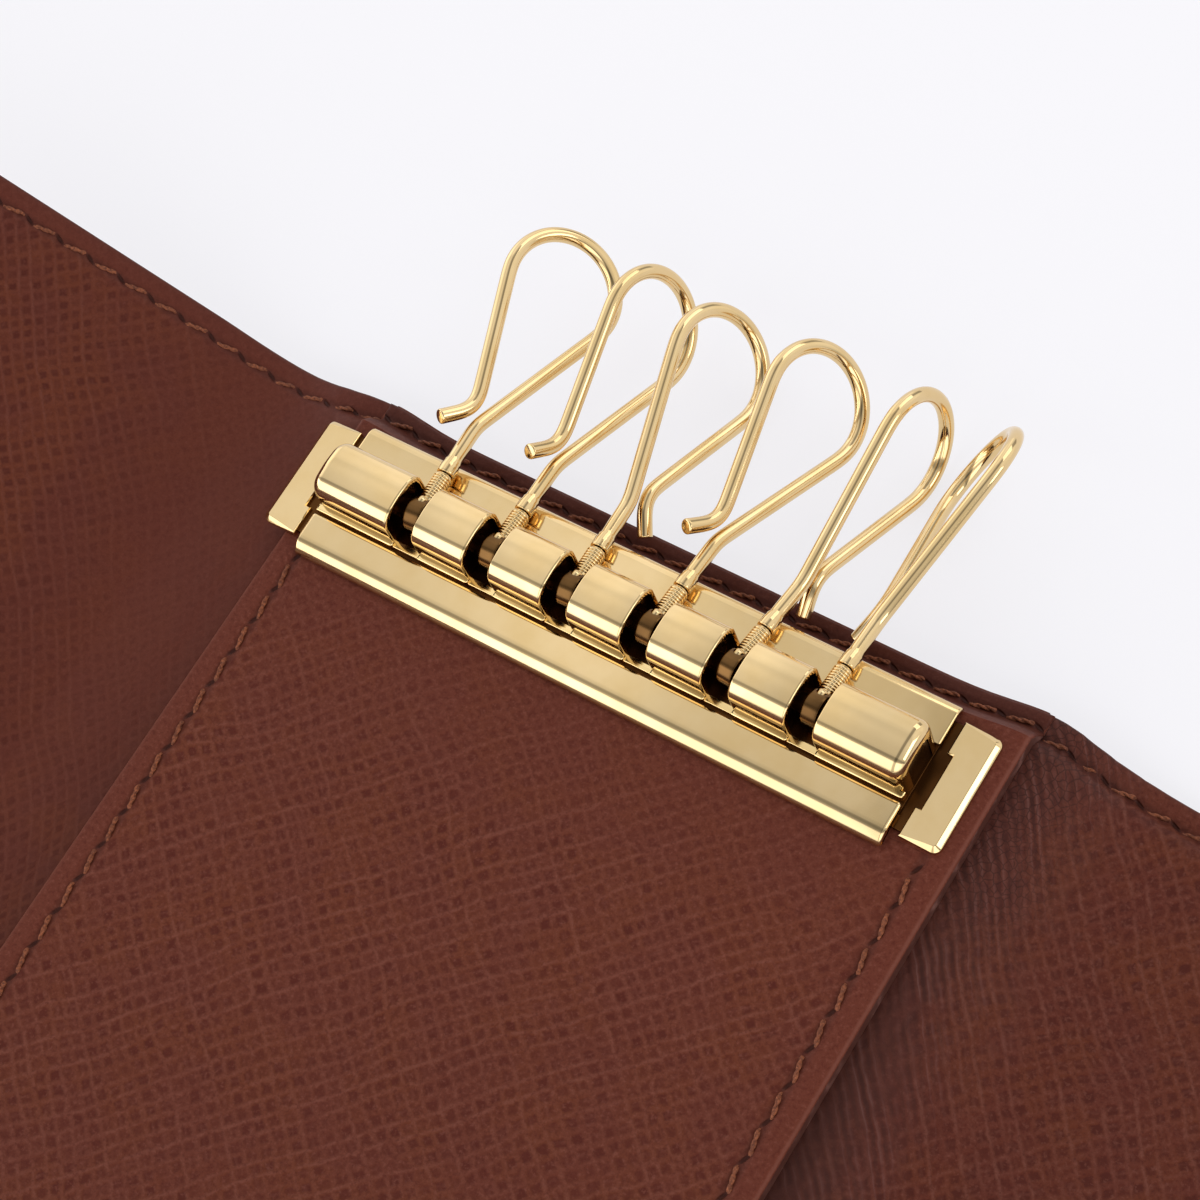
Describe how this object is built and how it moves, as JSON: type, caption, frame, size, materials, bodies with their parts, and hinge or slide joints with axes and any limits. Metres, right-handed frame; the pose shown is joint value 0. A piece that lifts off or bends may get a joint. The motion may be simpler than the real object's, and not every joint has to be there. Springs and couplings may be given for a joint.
{
  "type": "key case",
  "caption": "Trifold leather key case, open flat, with a metal key bar of swivelling wire hooks at the top of its back panel and a press stud.",
  "frame": {"origin": "middle of the underside of the back panel", "axes": "+X to the right wing, +Y to the top edge with the key bar, +Z out of the inside of the case"},
  "size_m": [0.1939, 0.1241, 0.0236],
  "materials": {
    "gold_metal": "polished gold-tone plating",
    "lining_leather": "cross-grain, matte",
    "outer_leather": "plain fine grain",
    "thread": "waxed thread",
    "board": "pressed fibre board"
  },
  "bodies": {
    "case_back": {"back_cover": "outer_leather", "stiffener_board": "board", "back_lining": "lining_leather", "bar_patch": "lining_leather", "patch_thread": "thread", "hem_thread": "thread", "carrier_plate": "gold_metal", "bar_tray": "gold_metal", "barrel_cover": "gold_metal", "axle_rod": "gold_metal", "bar_rivets": "gold_metal"},
    "left_spine": {"left_spine_cover": "outer_leather", "left_spine_lining": "lining_leather", "left_spine_thread": "thread"},
    "left_flap": {"left_flap_cover": "outer_leather", "left_flap_lining": "lining_leather", "left_flap_thread": "thread", "snap_stud": "gold_metal", "snap_post": "gold_metal"},
    "right_spine": {"right_spine_cover": "outer_leather", "right_spine_lining": "lining_leather", "right_spine_thread": "thread"},
    "right_flap": {"right_flap_cover": "outer_leather", "right_flap_lining": "lining_leather", "right_flap_thread": "thread", "snap_cap": "gold_metal", "snap_socket": "gold_metal"},
    "eye_1": {"swivel_eye_1": "gold_metal"},
    "hook_1": {"wire_hook_1": "gold_metal"},
    "eye_2": {"swivel_eye_2": "gold_metal"},
    "hook_2": {"wire_hook_2": "gold_metal"},
    "eye_3": {"swivel_eye_3": "gold_metal"},
    "hook_3": {"wire_hook_3": "gold_metal"},
    "eye_4": {"swivel_eye_4": "gold_metal"},
    "hook_4": {"wire_hook_4": "gold_metal"},
    "eye_5": {"swivel_eye_5": "gold_metal"},
    "hook_5": {"wire_hook_5": "gold_metal"},
    "eye_6": {"swivel_eye_6": "gold_metal"},
    "hook_6": {"wire_hook_6": "gold_metal"}
  },
  "joints": [
    {"name": "left_spine_fold", "type": "hinge", "parent": "case_back", "child": "left_spine", "pos_m": [-0.0321, 0, 0.0031], "axis": [0, 1, 0], "range_deg": [-6, 87]},
    {"name": "left_flap_fold", "type": "hinge", "parent": "left_spine", "child": "left_flap", "pos_m": [-0.04588, 0, 0.00382], "axis": [0, 1, 0], "range_deg": [-4.76, 69]},
    {"name": "right_spine_fold", "type": "hinge", "parent": "case_back", "child": "right_spine", "pos_m": [0.0321, 0, 0.0031], "axis": [0, -1, 0], "range_deg": [0, 95.8]},
    {"name": "right_flap_fold", "type": "hinge", "parent": "right_spine", "child": "right_flap", "pos_m": [0.04951, 0, 0.00133], "axis": [0, -1, 0], "range_deg": [0, 83]},
    {"name": "tilt_1", "type": "hinge", "parent": "case_back", "child": "eye_1", "pos_m": [-0.01915, 0.0441, 0.0089], "axis": [1, 0, 0], "range_deg": [0, 180.1]},
    {"name": "swivel_1", "type": "hinge", "parent": "eye_1", "child": "hook_1", "pos_m": [-0.01915, 0.0441, 0.0089], "axis": [0.0802, -0.9902, 0.1146], "range_deg": [-35, 12]},
    {"name": "tilt_2", "type": "hinge", "parent": "case_back", "child": "eye_2", "pos_m": [-0.01215, 0.0441, 0.0089], "axis": [1, 0, 0], "range_deg": [0, 181.1]},
    {"name": "swivel_2", "type": "hinge", "parent": "eye_2", "child": "hook_2", "pos_m": [-0.01215, 0.0441, 0.0089], "axis": [0.0349, -0.9906, 0.1322], "range_deg": [-30, 18]},
    {"name": "tilt_3", "type": "hinge", "parent": "case_back", "child": "eye_3", "pos_m": [-0.00515, 0.0441, 0.0089], "axis": [1, 0, 0], "range_deg": [0, 183.1]},
    {"name": "swivel_3", "type": "hinge", "parent": "eye_3", "child": "hook_3", "pos_m": [-0.00515, 0.0441, 0.0089], "axis": [0.0732, -0.9833, 0.1663], "range_deg": [-20, 10]},
    {"name": "tilt_4", "type": "hinge", "parent": "case_back", "child": "eye_4", "pos_m": [0.00185, 0.0441, 0.0089], "axis": [1, 0, 0], "range_deg": [0, 182]},
    {"name": "swivel_4", "type": "hinge", "parent": "eye_4", "child": "hook_4", "pos_m": [0.00185, 0.0441, 0.0089], "axis": [-0.0087, -0.989, 0.1478], "range_deg": [-35, 10]},
    {"name": "tilt_5", "type": "hinge", "parent": "case_back", "child": "eye_5", "pos_m": [0.00885, 0.0441, 0.0089], "axis": [1, 0, 0], "range_deg": [0, 182.8]},
    {"name": "swivel_5", "type": "hinge", "parent": "eye_5", "child": "hook_5", "pos_m": [0.00885, 0.0441, 0.0089], "axis": [0.0593, 0.9851, -0.1613], "range_deg": [-8, 55]},
    {"name": "tilt_6", "type": "hinge", "parent": "case_back", "child": "eye_6", "pos_m": [0.01585, 0.0441, 0.0089], "axis": [1, 0, 0], "range_deg": [0, 183.1]},
    {"name": "swivel_6", "type": "hinge", "parent": "eye_6", "child": "hook_6", "pos_m": [0.01585, 0.0441, 0.0089], "axis": [-0.0035, 0.986, -0.1668], "range_deg": [-8, 45]}
  ],
  "couplings": [
    {"joint": "left_flap_fold", "follows": "left_spine_fold", "ratio": 0.7931},
    {"joint": "right_flap_fold", "follows": "right_spine_fold", "ratio": 0.86639}
  ]
}
